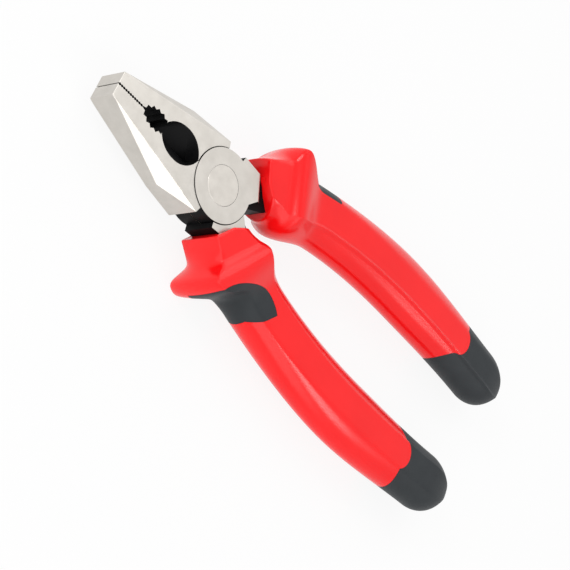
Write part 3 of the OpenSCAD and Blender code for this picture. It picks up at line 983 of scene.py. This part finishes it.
# Places of the two sides: the left side is the right side turned over about X
RIGHT_PLACE = Matrix.Translation((0, 0, MID_Z * MM))
LEFT_PLACE = RIGHT_PLACE @ Matrix.Rotation(math.pi, 4, "X")
HALVES = (("front_forging", "front_half", "front", RIGHT_PLACE),
          ("back_forging", "back_half", "back", LEFT_PLACE))
SIDES = (("right", RIGHT_S, RIGHT_LIP, RIGHT_BEAD_H, RIGHT_PAD, "front", RIGHT_PLACE),
         ("left", LEFT_S, LEFT_LIP, LEFT_BEAD_H, LEFT_PAD, "back", LEFT_PLACE))
GRIP_PARTS = (("sleeve", "grip_red"), ("thumb_pad", "grip_black"), ("tail_cap", "grip_black"))

half = forged_half("half_form")
rounded_edges(half, wear_edge)
tidy(half, FORGING_SHARP_DEG, FLAT_AREA)

PIECES = []
for piece_name, cad_node, body, matrix in HALVES:
    piece = duplicate(half, piece_name)
    place(piece, matrix)
    PIECES.append((piece, cad_node, body, "steel"))
bpy.data.objects.remove(half)

rivet = pivot_rivet()
tidy(rivet, RIVET_SHARP_DEG)
PIECES.append((rivet, "pivot_rivet", "back", "steel"))

for side, s, lip, bead_h, pad_shape, body, matrix in SIDES:
    for skin, (part, slot) in zip(grip(side, s, lip, bead_h, pad_shape), GRIP_PARTS):
        place(skin, matrix)
        PIECES.append((skin, side + "_" + part, body, slot))

for piece, cad_node, body, slot in PIECES:
    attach(piece, body)
    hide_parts(cad_node)

# Floor and world: the floor is mostly plain white to the eye, and keeps a faint shadow
FLOOR_Z = min(v[2] for v in cad_box)
FLOOR_REACH = 3
FLOOR_GREY = 0.93
FLOOR_WHITE = 0.995
WHITE_SHARE = 0.89
WORLD_LIGHT = 0.46
WORLD_SEEN = 1.0


def ray_seen(t):
    """1 for camera, glossy and transmission rays."""
    path = node(t, "ShaderNodeLightPath")
    total = path.outputs["Is Camera Ray"]
    for name in ("Is Glossy Ray", "Is Transmission Ray"):
        m = node(t, "ShaderNodeMath", operation="MAXIMUM")
        t.links.new(total, m.inputs[0])
        t.links.new(path.outputs[name], m.inputs[1])
        total = m.outputs["Value"]
    return total


def grey(level):
    return (level, level, level, 1)


def floor_material():
    m, t, b = new_material("pale_floor")
    t.nodes.remove(b)
    out = t.nodes["Material Output"]
    diffuse = node(t, "ShaderNodeBsdfDiffuse", Color=grey(FLOOR_GREY))
    white = node(t, "ShaderNodeEmission", Color=grey(FLOOR_WHITE), Strength=1.0)
    mix = node(t, "ShaderNodeMixShader")
    share = node(t, "ShaderNodeMath", operation="MULTIPLY")
    share.inputs[1].default_value = WHITE_SHARE
    t.links.new(ray_seen(t), share.inputs[0])
    t.links.new(share.outputs["Value"], mix.inputs["Fac"])
    t.links.new(diffuse.outputs["BSDF"], mix.inputs[1])
    t.links.new(white.outputs["Emission"], mix.inputs[2])
    t.links.new(mix.outputs["Shader"], out.inputs["Surface"])
    return m


def studio_world():
    world = bpy.data.worlds.new("studio")
    world.use_nodes = True
    t = world.node_tree
    background = t.nodes["Background"]
    background.inputs["Color"].default_value = grey(1)
    level = node(t, "ShaderNodeMapRange")
    level.inputs["To Min"].default_value = WORLD_LIGHT
    level.inputs["To Max"].default_value = WORLD_SEEN
    t.links.new(ray_seen(t), level.inputs["Value"])
    t.links.new(level.outputs["Result"], background.inputs["Strength"])
    return world


FLOOR_CORNERS = [(x * FLOOR_REACH, y * FLOOR_REACH, FLOOR_Z) for x, y in ((-1, -1), (1, -1), (1, 1), (-1, 1))]
floor = mesh_object("floor", FLOOR_CORNERS, [(0, 1, 2, 3)], [floor_material()])
bpy.context.scene.world = studio_world()


# Lamps, in metres and watts
def area_light(name, place_m, target_m, size, power):
    lamp = bpy.data.lights.new(name, "AREA")
    lamp.shape = "DISK"
    lamp.size = size
    lamp.energy = power
    obj = linked(name, lamp)
    obj.location = place_m
    obj.rotation_euler = (Vector(target_m) - Vector(place_m)).to_track_quat("-Z", "Y").to_euler()


area_light("key", (-0.15, 0.85, 0.80), (0.03, 0, 0), size=1.35, power=4.6)
area_light("fill", (0.16, -0.69, 0.58), (-0.02, 0, 0), size=0.7, power=1.6)
area_light("near", (-0.62, -0.52, 0.34), (0.02, 0, 0), size=1.1, power=2.8)
area_light("rim", (-0.80, 0.08, 0.50), (0.03, 0, 0), size=0.35, power=1.9)
area_light("crease", (0.55, -0.38, 0.76), (0.03, 0, 0), size=0.25, power=1.0)

# Camera, fitted to the photo: metres, degrees, and millimetres for lens and sensor
CAMERA_PLACE = (-0.308428, -0.296951, 0.445825)
CAMERA_TURN = (5.5244, -45.6395, 32.2753)
CAMERA_LENS = 137.203
CAMERA_SENSOR = 36.0
CAMERA_CLIP = (0.01, 20.0)

camera_data = bpy.data.cameras.new("camera")
camera_data.sensor_width = CAMERA_SENSOR
camera_data.lens = CAMERA_LENS
camera_data.clip_start, camera_data.clip_end = CAMERA_CLIP
camera = linked("camera", camera_data)
camera.location = CAMERA_PLACE
camera.rotation_euler = [math.radians(a) for a in CAMERA_TURN]
bpy.context.scene.camera = camera
bpy.context.scene.view_settings.view_transform = "Standard"
